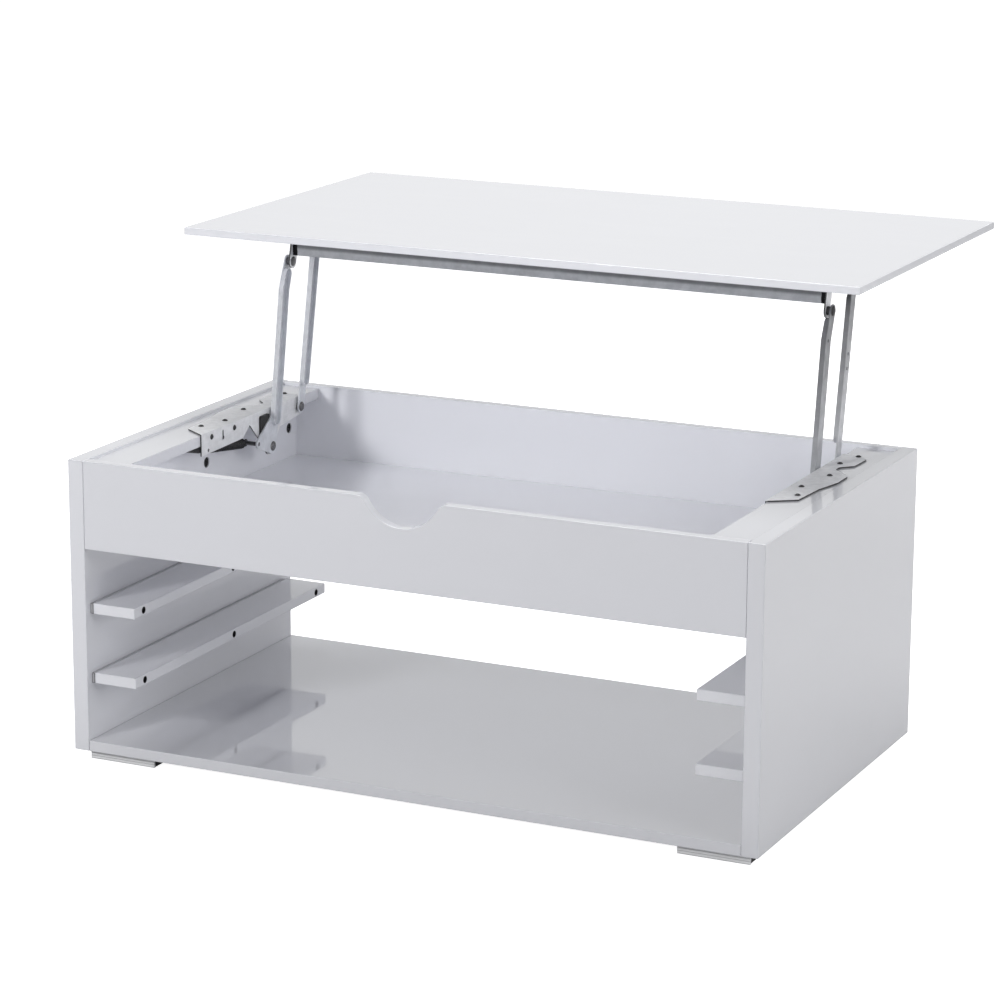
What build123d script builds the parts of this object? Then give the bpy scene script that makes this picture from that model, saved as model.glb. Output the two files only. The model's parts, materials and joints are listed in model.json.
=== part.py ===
"""Lift top coffee table, raised: a white box table whose top swings up and back on two pairs of steel arms.

The frame is millimetres. The origin lies on the floor, midway across the width and midway between the
front of the carcass and the back edge of the raised top. +X is right, +Y is back, +Z is up.
Left pieces are modelled and their right twins are mirrored in the plane X = 0.
"""
import os
from math import cos, radians, sin

from build123d import *

# Carcass
table_width = 1000
table_depth = 574
side_height = 407
panel_thickness = 23
board_thickness = 15
lining_thickness = 20
apron_height = 122
edge_round = 1.2
joint_gap = 0.4

# Finger notch in the apron
notch_width = 112
notch_depth = 38
notch_shoulder = 14

# Ledges that carry the lifting hardware
ledge_width = 58
ledge_drop = 4

# Rails screwed to the sides of the open bay
rail_width = 65
rail_spacer = 4
rail_spacer_height = 14
rail_front_gap = 12
rail_back_gap = 20
rail_heights = {"upper": 192, "lower": 94}
rail_screw_first = 24
rail_screw_pitch = 245
rail_screw_count = 3
rail_screw_bore = 5
rail_screw_sink = 12
rail_screw_bite = 12

# Feet
foot_height = 16
foot_length = 100
foot_depth = 60
foot_inset = 16
foot_setback = 16
foot_trim_thickness = 3
foot_trim_height = 12.5
foot_trim_overlap = 2
foot_trim_lift = 0.5

# Top
top_thickness = 10.5
top_back_setback = 8
top_closed_gap = 0.6

# Lifting linkage, seen from the side: angles are taken from +Y towards +Z
arm_length = 266
raised_angle = 79.1
closed_angle = 178.7
front_pivot_from_back = 167
front_pivot_below_side = 58
rear_pivot_back = 86
rear_pivot_up = 41

# Pressed steel parts
sheet = 2
arm_depth = 7
arm_half_width = 10
arm_eye = 9
plate_eye = 13
crank_angle = 165
crank_length = 42
crank_eye = 7
crank_hub = 11
knee_hole = 4
mark_radius = 2.5
marks_from_top = (113, 133)
arm_kink_from_top = 40
arm_kink_forward = 8
rim_from_pivot = 40
rim_below_eye = 19
plate_to_arm = 3
arm_to_ear = 1
pin_radius = 4
pin_head_radius = 7
pin_head_thickness = 2.5
pin_collar_radius = 6
crank_pin_radius = 3
running_clearance = 0.1
side_play = 0.2
snug = 0.05
screw_clearance = 0.3

# Base brackets
bracket_front_reach = 194
bracket_rear_reach = 99
bracket_plate_height = 31

# Top brackets and cross bar
ear_width = 20
top_flange_width = 25
top_flange_back = 14
top_screw_from_end = 10
bar_height = 40
bar_lip = 12
bar_below_top = 4
bar_tab = 18

# Springs
spring_radius = 8
spring_wire = 2
spring_inset = 15
spring_post_radius = 2.5
spring_post_from_pivot = 175
spring_post_above_pivot = 30
hook_length = 12
eye_clearance = 0.5

# Fasteners
screw_radius = 2
screw_head_radius = 4
screw_head_thickness = 2
ledge_screw_length = 11
top_screw_length = 9
dowel_radius = 4
dowel_in_side = 10
dowel_in_board = 20
dowel_end_gap = 0.5
dowel_from_end = 60
dowel_from_edge = 30
cam_radius = 7.5
cam_thickness = 9
cam_recess = 1.5
cam_clearance = 0.1
cam_before_pivot = 112
cam_from_back = 22
screw_rise = 0.4
hole_spare = 1

# Places that follow from the sizes above
top_travel = arm_length * (cos(radians(raised_angle)) - cos(radians(closed_angle)))
left = -table_width / 2
inner = left + panel_thickness
front = -(table_depth + top_travel - top_back_setback) / 2
back = front + table_depth
side_top = foot_height + side_height
shelf_top = foot_height + board_thickness
apron_bottom = side_top - apron_height
floor_top = apron_bottom + board_thickness
ledge_top = side_top - ledge_drop
ledge_bottom = ledge_top - board_thickness
ledge_edge = inner + ledge_width
well_front = front + board_thickness
well_back = back - board_thickness

front_pivot = (back - front_pivot_from_back, side_top - front_pivot_below_side)
rear_pivot = (front_pivot[0] + rear_pivot_back, front_pivot[1] + rear_pivot_up)
closed_pivot_height = front_pivot[1] + arm_length * sin(radians(closed_angle))
top_pivot_drop = side_top + top_closed_gap - closed_pivot_height

plate_outer = ledge_edge
plate_inner = plate_outer + sheet
arm_outer = plate_inner + plate_to_arm
arm_inner = arm_outer + arm_depth
ear_outer = arm_inner + arm_to_ear
ear_inner = ear_outer + sheet


def polar(centre, angle, radius):
    """The point at an angle and a distance from a centre, as (y, z)."""
    return (centre[0] + radius * cos(radians(angle)), centre[1] + radius * sin(radians(angle)))


front_top_pivot = polar(front_pivot, raised_angle, arm_length)
rear_top_pivot = polar(rear_pivot, raised_angle, arm_length)
top_bottom = front_top_pivot[1] + top_pivot_drop
top_front = front + top_travel
top_back = top_front + table_depth - top_back_setback
crank_tip = polar(front_pivot, crank_angle, crank_length)
spring_post = (front_pivot[0] - spring_post_from_pivot, front_pivot[1] + spring_post_above_pivot)
spring_x = plate_outer - spring_inset


def save(solid, name):
    """Label a finished piece and write it."""
    solid.label = name
    export_step(solid, f"parts/{name}.step")


def save_pair(solid, name):
    """Write a left piece and its mirrored right twin."""
    save(solid, f"{name}_left")
    save(mirror(solid, about=Plane.YZ), f"{name}_right")


def board(x, y, z, round_over=edge_round):
    """A board between two values of x, y and z, with its arrises eased."""
    with BuildPart() as piece:
        with Locations(((x[0] + x[1]) / 2, (y[0] + y[1]) / 2, (z[0] + z[1]) / 2)):
            Box(x[1] - x[0], y[1] - y[0], z[1] - z[0])
        if round_over:
            fillet(piece.edges(), round_over)
    return piece.part


def drill(solid, plane, points, radius, depth):
    """Sink round holes into a piece from a plane, along the plane's own normal."""
    with BuildPart() as piece:
        add(solid)
        with BuildSketch(plane):
            with Locations(*points):
                Circle(radius)
        extrude(amount=depth, mode=Mode.SUBTRACT)
    return piece.part


def rods(plane, points, radius, length):
    """Round rods that start on a plane and run along its normal."""
    with BuildPart() as piece:
        with BuildSketch(plane):
            with Locations(*points):
                Circle(radius)
        extrude(amount=length)
    return piece.part


def screws(plane, points, length):
    """Flat headed screws whose heads start on a plane and whose shanks run along its normal."""
    with BuildPart() as piece:
        for radius, reach in ((screw_head_radius, screw_head_thickness), (screw_radius, length)):
            with BuildSketch(plane):
                with Locations(*points):
                    Circle(radius)
            extrude(amount=reach)
    return piece.part


def hull(plane, circles, depth):
    """A flat plate whose outline is pulled tight round circles given as (y, z, radius)."""
    with BuildPart() as piece:
        with BuildSketch(plane):
            for u, v, radius in circles:
                with Locations((u, v)):
                    Circle(radius)
            make_hull()
        extrude(amount=depth)
    return piece.part


def at_x(x):
    """The plane at x whose own axes are +Y and +Z and whose normal is +X."""
    return Plane.YZ.offset(x)


# Where the carcass joints and their fasteners lie, as (y, z)
half_board = board_thickness / 2
rim_heights = (apron_bottom + dowel_from_edge, side_top - dowel_from_edge)
well_ends = (well_front + dowel_from_end, well_back - dowel_from_end)
shelf_stations = (front + dowel_from_end, (front + back) / 2, back - dowel_from_end)
dowel_rows = {
    "shelf": [(y, foot_height + half_board) for y in shelf_stations],
    "apron": [(front + half_board, z) for z in rim_heights],
    "back": [(back - half_board, z) for z in rim_heights],
    "ledge": [(y, ledge_top - half_board) for y in well_ends],
    "floor": [(y, floor_top - half_board) for y in well_ends],
}
dowel_points = [point for row in dowel_rows.values() for point in row]
rail_front = front + rail_front_gap
rail_back = back - rail_back_gap
rail_screw_places = [
    rail_front + rail_screw_first + n * rail_screw_pitch for n in range(rail_screw_count)
]
rail_screw_points = {
    level: [(y, foot_height + height + half_board) for y in rail_screw_places]
    for level, height in rail_heights.items()
}
cam_height = (floor_top + ledge_bottom) / 2
cam_points = [(front_pivot[0] - cam_before_pivot, cam_height), (well_back - cam_from_back, cam_height)]
dowel_hole = dowel_radius + snug
screw_hole = screw_radius + snug
far_inner = -inner


def side_panel():
    """An outer side, bored for the dowels, the rail screws and the cam bolts."""
    solid = board((left, inner), (front, back), (foot_height, side_top))
    solid = drill(solid, at_x(inner), dowel_points, dowel_hole, -dowel_in_side)
    for points in rail_screw_points.values():
        solid = drill(solid, at_x(inner), points, screw_hole, -rail_screw_bite)
    return solid


def cross_board(y, z, rows):
    """A board that runs between the two sides, bored at both ends for its dowels."""
    solid = board((inner + joint_gap / 2, far_inner - joint_gap / 2), y, z)
    for name in rows:
        solid = drill(solid, at_x(inner), dowel_rows[name], dowel_hole, dowel_in_board)
        solid = drill(solid, at_x(far_inner), dowel_rows[name], dowel_hole, -dowel_in_board)
    return solid


def front_apron():
    """The front board, with a dished finger notch whose shoulders are rounded, in its top edge."""
    length = far_inner - inner - joint_gap
    dish_radius = ((notch_width / 2) ** 2 + notch_depth**2) / (2 * notch_depth)
    with BuildPart() as piece:
        with BuildSketch(Plane.XZ.offset(-front)):
            with Locations((0, side_top)):
                Rectangle(length, apron_height, align=(Align.CENTER, Align.MAX))
            with Locations((0, side_top - notch_depth + dish_radius)):
                Circle(dish_radius, mode=Mode.SUBTRACT)
            corners = vertices().filter_by(lambda v: abs(v.X) < length / 2 - notch_shoulder)
            fillet(corners, notch_shoulder)
        extrude(amount=-board_thickness)
        faces = piece.faces().sort_by(Axis.Y)
        fillet(faces[0].edges() + faces[-1].edges(), edge_round)
    solid = drill(piece.part, at_x(inner), dowel_rows["apron"], dowel_hole, dowel_in_board)
    return drill(solid, at_x(far_inner), dowel_rows["apron"], dowel_hole, -dowel_in_board)


def lining():
    """The inner side board of the well, with sockets for the cams that lock it to the side."""
    solid = board((inner, inner + lining_thickness), (well_front, well_back), (floor_top, ledge_bottom), 0)
    face = at_x(inner + lining_thickness)
    return drill(solid, face, cam_points, cam_radius + cam_clearance, -(cam_thickness + cam_recess))


def cams():
    """Cam lock discs, a little below the face of the lining."""
    return rods(at_x(inner + lining_thickness - cam_recess), cam_points, cam_radius, -cam_thickness)


# Screws through the flange of a base bracket, as (distance behind the front pivot, distance in from the web)
flange_screws = [(-148, 25), (-102, 13), (-28, 25), (42, 14), (90, 23)]
flange_screw_points = [(plate_outer - inset, front_pivot[0] + step) for step, inset in flange_screws]
# Screws through its web into the edge of the ledge
web_screws = (-166, -102)
web_screw_points = [(front_pivot[0] + step, ledge_top - half_board + 1) for step in web_screws]


def ledge():
    """The board along the top of the well that the lifting hardware is screwed to."""
    solid = board((inner, ledge_edge), (well_front, well_back), (ledge_bottom, ledge_top), 0)
    solid = drill(solid, at_x(inner), dowel_rows["ledge"], dowel_hole, dowel_in_board)
    depth = -(ledge_screw_length + hole_spare)
    solid = drill(solid, Plane.XY.offset(ledge_top), flange_screw_points, screw_hole, depth)
    return drill(solid, at_x(ledge_edge), web_screw_points, screw_hole, depth)


def rail(level):
    """A rail of the open bay, counterbored from its inner edge for long screws."""
    low = foot_height + rail_heights[level]
    x = (inner + rail_spacer, inner + rail_spacer + rail_width)
    y = (rail_front, rail_back)
    solid = board(x, y, (low, low + board_thickness))
    solid = drill(solid, at_x(x[1]), rail_screw_points[level], rail_screw_bore, -rail_screw_sink)
    return drill(solid, at_x(x[0]), rail_screw_points[level], screw_hole, rail_width)


def rail_packer(level):
    """The thin strip between a rail and the side."""
    middle = foot_height + rail_heights[level] + board_thickness / 2
    z = (middle - rail_spacer_height / 2, middle + rail_spacer_height / 2)
    y = (rail_front, rail_back - rail_spacer)
    solid = board((inner, inner + rail_spacer), y, z, 0)
    return drill(solid, at_x(inner), rail_screw_points[level], screw_hole, rail_spacer)


def rail_screws():
    """The long screws of both rails of one side, their heads seated in the counterbores."""
    head_x = inner + rail_spacer + rail_width - rail_screw_sink + screw_head_thickness
    points = [point for row in rail_screw_points.values() for point in row]
    length = head_x - inner + rail_screw_bite - hole_spare
    return screws(Plane((head_x, 0, 0), x_dir=(0, 1, 0), z_dir=(-1, 0, 0)), mirrored(points), length)


def mirrored(points):
    """The same (y, z) points on a plane whose normal points to -X, so that its second axis is -Z."""
    return [(y, -z) for y, z in points]


def foot_places():
    """The low corner of each left foot, front and back, as y."""
    return {"front": front + foot_setback, "back": back - foot_setback - foot_depth}


def foot_block(y, facing):
    """A moulded foot block, with a step in its outward face for the metal strip."""
    x = left + foot_inset
    with BuildPart() as piece:
        with Locations((x + foot_length / 2, y + foot_depth / 2, foot_height / 2)):
            Box(foot_length - 2 * foot_trim_overlap, foot_depth, foot_height)
        fillet(piece.edges().filter_by(Axis.Z), foot_trim_overlap)
        trim_y = y if facing < 0 else y + foot_depth
        with Locations((x + foot_length / 2, trim_y, foot_trim_height / 2)):
            Box(foot_length, 2 * foot_trim_thickness, foot_trim_height, mode=Mode.SUBTRACT)
    return piece.part


def foot_trim(y, facing):
    """The bright strip on the outward face of a foot."""
    x = (left + foot_inset, left + foot_inset + foot_length)
    low = y if facing < 0 else y + foot_depth - foot_trim_thickness
    return board(x, (low, low + foot_trim_thickness), (foot_trim_lift, foot_trim_height), edge_round / 2)


# The outline of the base bracket, in steps behind and above the front pivot
web_underside = [(-78, 27), (-58, 42), (-38, 22), (30, 22)]
flange_edge = [(-169, 34), (-105, 38), (-60, 48), (-22, 48), (8, 20), (22, 20), (38, 36), (82, 38)]
flange_corner = 5
window_centre = (-18, 34)
window_size = (26, 30)
window_corner = 3
keyhole = (-134, 40)
keyhole_radius = 3.2
keyhole_slot = (11, 3)


def beside_pivot(step):
    """A point given in steps behind and above the front pivot, as (y, z)."""
    return (front_pivot[0] + step[0], front_pivot[1] + step[1])


def base_bracket():
    """An angle plate: a lobed flange screwed on the ledge and a web that carries the two lower pivots."""
    py, pz = front_pivot
    tip = py - bracket_front_reach
    tail = py + bracket_rear_reach
    top = ledge_top + sheet
    with BuildPart() as piece:
        with BuildSketch(at_x(plate_outer)):
            with BuildLine():
                Polyline(
                    (tip, top),
                    (tip, top - bracket_plate_height),
                    *[beside_pivot(step) for step in web_underside[:3]],
                    (py - plate_eye, pz),
                    (py + plate_eye, pz),
                    beside_pivot(web_underside[3]),
                    (rear_pivot[0], rear_pivot[1] - plate_eye),
                    (tail, rear_pivot[1]),
                    (tail, top),
                    close=True,
                )
            make_face()
            with Locations(front_pivot, rear_pivot):
                Circle(plate_eye)
            with Locations(front_pivot, rear_pivot):
                Circle(pin_radius + snug, mode=Mode.SUBTRACT)
            with Locations(beside_pivot(window_centre)):
                RectangleRounded(*window_size, window_corner, mode=Mode.SUBTRACT)
            with Locations(*web_screw_points):
                Circle(screw_radius + screw_clearance, mode=Mode.SUBTRACT)
            with Locations(beside_pivot(keyhole)):
                Circle(keyhole_radius, mode=Mode.SUBTRACT)
                with Locations((0, keyhole_slot[0] / 2)):
                    SlotOverall(*keyhole_slot, rotation=90, mode=Mode.SUBTRACT)
            with Locations(spring_post):
                Circle(spring_post_radius + snug, mode=Mode.SUBTRACT)
        extrude(amount=sheet)
        with BuildSketch(Plane.XY.offset(ledge_top)):
            with BuildLine():
                Polyline(
                    (plate_inner, tip),
                    *[(plate_outer - reach, py + step) for step, reach in flange_edge],
                    (plate_outer - sheet, tail),
                    (plate_inner, tail),
                    close=True,
                )
            flange = make_face()
            fillet(flange.vertices().filter_by(lambda v: v.X < plate_outer - flange_corner), flange_corner)
            with Locations(*flange_screw_points):
                Circle(screw_radius + screw_clearance, mode=Mode.SUBTRACT)
        extrude(amount=sheet)
    return piece.part


def bracket_screws():
    """The screws of one base bracket, five down through the flange and two into the ledge's edge."""
    down = Plane((0, 0, ledge_top + sheet), x_dir=(1, 0, 0), z_dir=(0, 0, -1))
    across = Plane((plate_inner, 0, 0), x_dir=(0, 1, 0), z_dir=(-1, 0, 0))
    length = ledge_screw_length
    with BuildPart() as piece:
        for plane, points in ((down, flange_screw_points), (across, web_screw_points)):
            with BuildSketch(plane.offset(-screw_rise)):
                with Locations(*mirrored(points)):
                    Circle(screw_head_radius)
            extrude(amount=screw_rise)
            with BuildSketch(plane):
                with Locations(*mirrored(points)):
                    Circle(screw_radius)
            extrude(amount=length)
    return piece.part


def glide_pad():
    """The black pad in the web's window, which keeps the front arm from rattling."""
    width, height = window_size
    with BuildPart() as piece:
        with BuildSketch(at_x(plate_outer)):
            with Locations(beside_pivot(window_centre)):
                RectangleRounded(width - side_play, height - side_play, window_corner - side_play / 2)
        extrude(amount=sheet + plate_to_arm - side_play)
    return piece.part


def base_pins():
    """The two lower pivots and the spring post, riveted into the web of the base bracket."""
    pivots = [front_pivot, rear_pivot]
    with BuildPart() as piece:
        for start, radius, length in (
            (plate_outer, pin_radius, arm_outer + sheet + side_play - plate_outer),
            (plate_inner, pin_head_radius, plate_to_arm - side_play),
            (arm_outer + sheet + side_play, pin_head_radius, pin_head_thickness),
        ):
            with BuildSketch(at_x(start)):
                with Locations(*pivots):
                    Circle(radius)
            extrude(amount=length)
        with BuildSketch(at_x(spring_x - spring_wire)):
            with Locations(spring_post):
                Circle(spring_post_radius)
        extrude(amount=plate_inner - spring_x + spring_wire)
    return piece.part


def along(start, end, distance):
    """The point a given distance from start towards end, as (y, z)."""
    run = (Vector(*end) - Vector(*start)).normalized()
    return (start[0] + run.X * distance, start[1] + run.Y * distance)


def arm_rim(*stations):
    """The turned-up rim of a pressed arm, along its stations, each given as (point, radius)."""
    floor = at_x(arm_outer + sheet)
    rise = arm_depth - sheet
    runs = list(zip(stations, stations[1:]))
    with BuildPart() as piece:
        for low, high in runs:
            add(hull(floor, [(*low[0], low[1]), (*high[0], high[1])], rise))
        for low, high in runs:
            inside = [(*low[0], low[1] - sheet), (*high[0], high[1] - sheet)]
            add(hull(floor, inside, rise), mode=Mode.SUBTRACT)
    return piece.part


def front_arm():
    """The load arm: a bell crank whose short end pulls the spring, with a kink below its upper eye."""
    lower, upper = front_pivot, front_top_pivot
    forward = raised_angle + 90
    kink = polar(polar(lower, raised_angle, arm_length - arm_kink_from_top), forward, arm_kink_forward)
    knee = along(lower, kink, rim_from_pivot)
    neck = along(upper, kink, rim_below_eye)
    web = at_x(arm_outer)
    with BuildPart() as piece:
        add(hull(web, [(*lower, crank_hub), (*knee, arm_half_width), (*crank_tip, crank_eye)], sheet))
        add(hull(web, [(*knee, arm_half_width), (*kink, arm_half_width)], sheet))
        add(hull(web, [(*kink, arm_half_width), (*upper, arm_eye)], sheet))
        add(arm_rim((knee, arm_half_width), (kink, arm_half_width), (neck, arm_eye)))
    solid = drill(piece.part, web, [lower, upper], pin_radius + running_clearance, sheet)
    solid = drill(solid, web, [crank_tip], crank_pin_radius + snug, sheet)
    return drill(solid, web, [knee], knee_hole, sheet)


def rear_arm():
    """The idle arm, straight and parallel to the load arm, which keeps the top level."""
    lower, upper = rear_pivot, rear_top_pivot
    web = at_x(arm_outer)
    start = along(lower, upper, rim_from_pivot)
    end = along(lower, upper, arm_length - rim_from_pivot)
    with BuildPart() as piece:
        add(hull(web, [(*lower, arm_eye), (*upper, arm_eye)], sheet))
        add(arm_rim((start, arm_eye), (end, arm_eye)))
    solid = drill(piece.part, web, [lower, upper], pin_radius + running_clearance, sheet)
    return drill(solid, web, [along(upper, lower, step) for step in marks_from_top], mark_radius, sheet)


def crank_pin():
    """The pin in the short end of the load arm, which reaches under the ledge to the spring."""
    start = spring_x - spring_wire
    return rods(at_x(start), [crank_tip], crank_pin_radius, arm_outer + sheet - start)


def spring():
    """The envelope of a closely wound tension spring, with an eye at each end."""
    span = Vector(*crank_tip) - Vector(*spring_post)
    direction = Vector(0, span.X, span.Y).normalized()
    start = Vector(spring_x, *spring_post)
    end = Vector(spring_x, *crank_tip)
    coil = Plane(start + direction * hook_length, x_dir=(1, 0, 0), z_dir=direction)
    with BuildPart() as piece:
        with BuildSketch(coil):
            Circle(spring_radius)
        extrude(amount=(end - start).length - 2 * hook_length)
        for centre, pin in ((start, spring_post_radius), (end, crank_pin_radius)):
            eye = Plane(centre, x_dir=direction, z_dir=(1, 0, 0))
            with BuildSketch(eye):
                Circle(pin + eye_clearance + 2 * spring_wire)
                shank = hook_length if centre == start else -hook_length
                with Locations((shank / 2, 0)):
                    Rectangle(hook_length, spring_wire)
                Circle(pin + eye_clearance, mode=Mode.SUBTRACT)
            extrude(amount=spring_wire / 2, both=True)
    return piece.part


flange_back = rear_top_pivot[0] + top_flange_back
flange_middle = (front_top_pivot[0] + flange_back) / 2
flange_length = flange_back - front_top_pivot[0]
screw_span = flange_length / 2 - top_screw_from_end
screw_column = ear_inner + top_flange_width / 2
top_screw_points = [(screw_column, flange_middle + step) for step in (-screw_span, 0, screw_span)]


def top_bracket():
    """An angle bracket under the top: a narrow tab down to the front pivot, and a flange for screws."""
    fy, fz = front_top_pivot
    rz = rear_top_pivot[1]
    half = ear_width / 2
    strip_bottom = rz - half
    with BuildPart() as piece:
        add(hull(at_x(ear_outer), [(fy, fz, half), (fy + half, rz, half)], sheet))
        with BuildSketch(at_x(ear_outer)):
            with Locations((flange_middle, top_bottom)):
                Rectangle(flange_length, top_bottom - strip_bottom, align=(Align.CENTER, Align.MAX))
        extrude(amount=sheet)
        with BuildSketch(Plane.XY.offset(top_bottom - sheet)):
            with Locations((ear_outer, flange_middle)):
                Rectangle(sheet + top_flange_width, flange_length, align=(Align.MIN, Align.CENTER))
            with Locations(*top_screw_points):
                Circle(screw_radius + screw_clearance, mode=Mode.SUBTRACT)
        extrude(amount=sheet)
    return drill(piece.part, at_x(ear_outer), [front_top_pivot, rear_top_pivot], pin_radius + snug, sheet)


def top_screws():
    """The screws that hold one top bracket to the top."""
    under = Plane.XY.offset(top_bottom - sheet)
    with BuildPart() as piece:
        for radius, length in ((screw_head_radius, -screw_head_thickness), (screw_radius, top_screw_length)):
            with BuildSketch(under):
                with Locations(*top_screw_points):
                    Circle(radius)
            extrude(amount=length)
    return piece.part


def top_pins():
    """The two upper pivots, riveted into the ear of the top bracket."""
    pivots = [front_top_pivot, rear_top_pivot]
    web_inner = arm_outer + sheet
    with BuildPart() as piece:
        for start, radius, length in (
            (arm_outer - side_play - sheet, pin_head_radius, sheet),
            (arm_outer - side_play, pin_radius, ear_inner - arm_outer + side_play),
            (web_inner + side_play, pin_collar_radius, ear_outer - web_inner - side_play),
            (ear_inner, pin_head_radius, pin_head_thickness),
        ):
            with BuildSketch(at_x(start)):
                with Locations(*pivots):
                    Circle(radius)
            extrude(amount=length)
    return piece.part


def cross_bar():
    """The folded steel bar that ties the two top brackets, with a tab on each end."""
    low_y = front_top_pivot[0]
    high_z = top_bottom - bar_below_top
    length = -2 * ear_inner
    with BuildPart() as piece:
        with BuildSketch(at_x(ear_inner)):
            with Locations((low_y, high_z)):
                Rectangle(bar_lip, bar_height, align=(Align.MIN, Align.MAX))
            with Locations((low_y + sheet, high_z - sheet)):
                Rectangle(bar_lip, bar_height - 2 * sheet, align=(Align.MIN, Align.MAX), mode=Mode.SUBTRACT)
        extrude(amount=length)
        fillet(piece.edges().filter_by(Axis.X).group_by(Axis.Y)[0], sheet / 2)
        for x, align in ((ear_inner, Align.MIN), (-ear_inner, Align.MAX)):
            with Locations((x, low_y + sheet, high_z - sheet)):
                Box(sheet, bar_tab, bar_height - 3 * sheet, align=(align, Align.MIN, Align.MAX))
    return piece.part


def table_top():
    """The lifting top, with pilot holes for the bracket screws."""
    solid = board((left, -left), (top_front, top_back), (top_bottom, top_bottom + top_thickness))
    both_sides = top_screw_points + [(-x, y) for x, y in top_screw_points]
    return drill(solid, Plane.XY.offset(top_bottom), both_sides, screw_hole, top_screw_length - sheet + snug)


def dowels():
    """Every hidden dowel of the carcass joints."""
    start = inner - dowel_in_side + dowel_end_gap
    length = dowel_in_side + dowel_in_board - 2 * dowel_end_gap
    with BuildPart() as piece:
        for x, run in ((start, length), (-start, -length)):
            with BuildSketch(at_x(x)):
                with Locations(*dowel_points):
                    Circle(dowel_radius)
            extrude(amount=run)
    return piece.part


os.makedirs("parts", exist_ok=True)

save_pair(side_panel(), "side_panel")
save(front_apron(), "front_apron")
save(cross_board((well_back, back), (apron_bottom, side_top), ["back"]), "back_panel")
save(cross_board((front, back), (foot_height, shelf_top), ["shelf"]), "bottom_shelf")
save(cross_board((well_front, well_back), (apron_bottom, floor_top), ["floor"]), "well_floor")
save(dowels(), "carcass_dowels")
save_pair(lining(), "well_lining")
save_pair(cams(), "lining_cams")
save_pair(ledge(), "ledge")
for level in rail_heights:
    save_pair(rail(level), f"{level}_rail")
    save_pair(rail_packer(level), f"{level}_rail_packer")
save_pair(rail_screws(), "rail_screws")
for place, y in foot_places().items():
    facing = -1 if place == "front" else 1
    save_pair(foot_block(y, facing), f"{place}_foot")
    save_pair(foot_trim(y, facing), f"{place}_foot_strip")
save_pair(base_bracket(), "base_bracket")
save_pair(bracket_screws(), "base_bracket_screws")
save_pair(glide_pad(), "glide_pad")
save_pair(base_pins(), "base_pins")
save_pair(front_arm(), "front_arm")
save_pair(rear_arm(), "rear_arm")
save_pair(crank_pin(), "crank_pin")
save_pair(spring(), "spring")
save_pair(top_bracket(), "top_bracket")
save_pair(top_screws(), "top_bracket_screws")
save_pair(top_pins(), "top_pins")
save(cross_bar(), "cross_bar")
save(table_top(), "table_top")
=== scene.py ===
# %% [markdown]
# # A lift top coffee table in white lacquer
# The table is a box of lacquered boards. Its top rises up and back on two pairs of pressed steel arms.
# The boards, arms and brackets come from the CAD model, which is loaded first and stays where it is.
# This script adds what makes them look real: finishes for every part, and finer shapes for the small hardware.
# Loading the model gives every part by name.

import json
import math

import bmesh
import bpy
import numpy as np
from mathutils import Matrix, Vector


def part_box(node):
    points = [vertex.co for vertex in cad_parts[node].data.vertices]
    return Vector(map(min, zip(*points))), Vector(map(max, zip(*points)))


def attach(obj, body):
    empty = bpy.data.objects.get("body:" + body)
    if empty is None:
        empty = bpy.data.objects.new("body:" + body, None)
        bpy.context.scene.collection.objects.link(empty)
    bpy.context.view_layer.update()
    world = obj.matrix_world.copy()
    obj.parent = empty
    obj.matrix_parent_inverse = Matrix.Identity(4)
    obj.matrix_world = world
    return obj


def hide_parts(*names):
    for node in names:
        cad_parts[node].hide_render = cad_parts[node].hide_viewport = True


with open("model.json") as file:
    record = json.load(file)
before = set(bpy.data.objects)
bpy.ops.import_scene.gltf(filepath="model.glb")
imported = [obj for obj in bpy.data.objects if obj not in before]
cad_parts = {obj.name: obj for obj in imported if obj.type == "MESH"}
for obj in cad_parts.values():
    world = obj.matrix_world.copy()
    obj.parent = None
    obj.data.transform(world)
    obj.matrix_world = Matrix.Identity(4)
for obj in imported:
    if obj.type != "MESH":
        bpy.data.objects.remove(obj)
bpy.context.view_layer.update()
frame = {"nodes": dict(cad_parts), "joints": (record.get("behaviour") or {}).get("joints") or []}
nodes = frame["nodes"]
sides = {"left": -1, "right": 1}

# %% [markdown]
# ## Where the hinges are
# Each arm turns on two pins, and the model's record holds the place of every hinge. Reading the places
# from it, and not typing them again, keeps each new pin exactly in its hole when a size changes. Arms,
# brackets and ears are all pressed from one thickness of sheet.

# %% Read the pivots
hinge = {joint["name"]: np.array(joint["pos_m"]) for joint in frame["joints"]}
front_low, rear_low = hinge["lift"][1:], hinge["idle_arm_left_pivot"][1:]
front_high = hinge["top_level"][1:]
rear_high = rear_low + front_high - front_low
plate_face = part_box("base_bracket_left")[1].x
sheet = 0.002
print("front pivots:", front_low, front_high, "web face:", round(plate_face, 4))

# %% [markdown]
# ## The camera
# A long lens keeps the table's edges nearly parallel, so its proportions read clearly. The camera is
# given by its place, by the direction that it looks in as two angles, and by a slight roll about that
# direction. A rotation matrix made from those three angles is easier to check than three Euler angles.

# %% Camera
camera_place = (1.9814, -4.3383, 1.5247)
camera_azimuth, camera_elevation, camera_roll = (math.radians(a) for a in (25.281, 14.139, 0.309))
camera_lens = 126.7


def camera_turn(azimuth, elevation, roll):
    """The camera's rotation: its back points away from the table, and its sides turn by the roll."""
    flat = math.cos(elevation)
    back = Vector((math.sin(azimuth) * flat, -math.cos(azimuth) * flat, math.sin(elevation)))
    right = Vector((math.cos(azimuth), math.sin(azimuth), 0))
    up = back.cross(right)
    side = right * math.cos(roll) + up * math.sin(roll)
    return Matrix((side, back.cross(side), back)).transposed().to_4x4()


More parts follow.
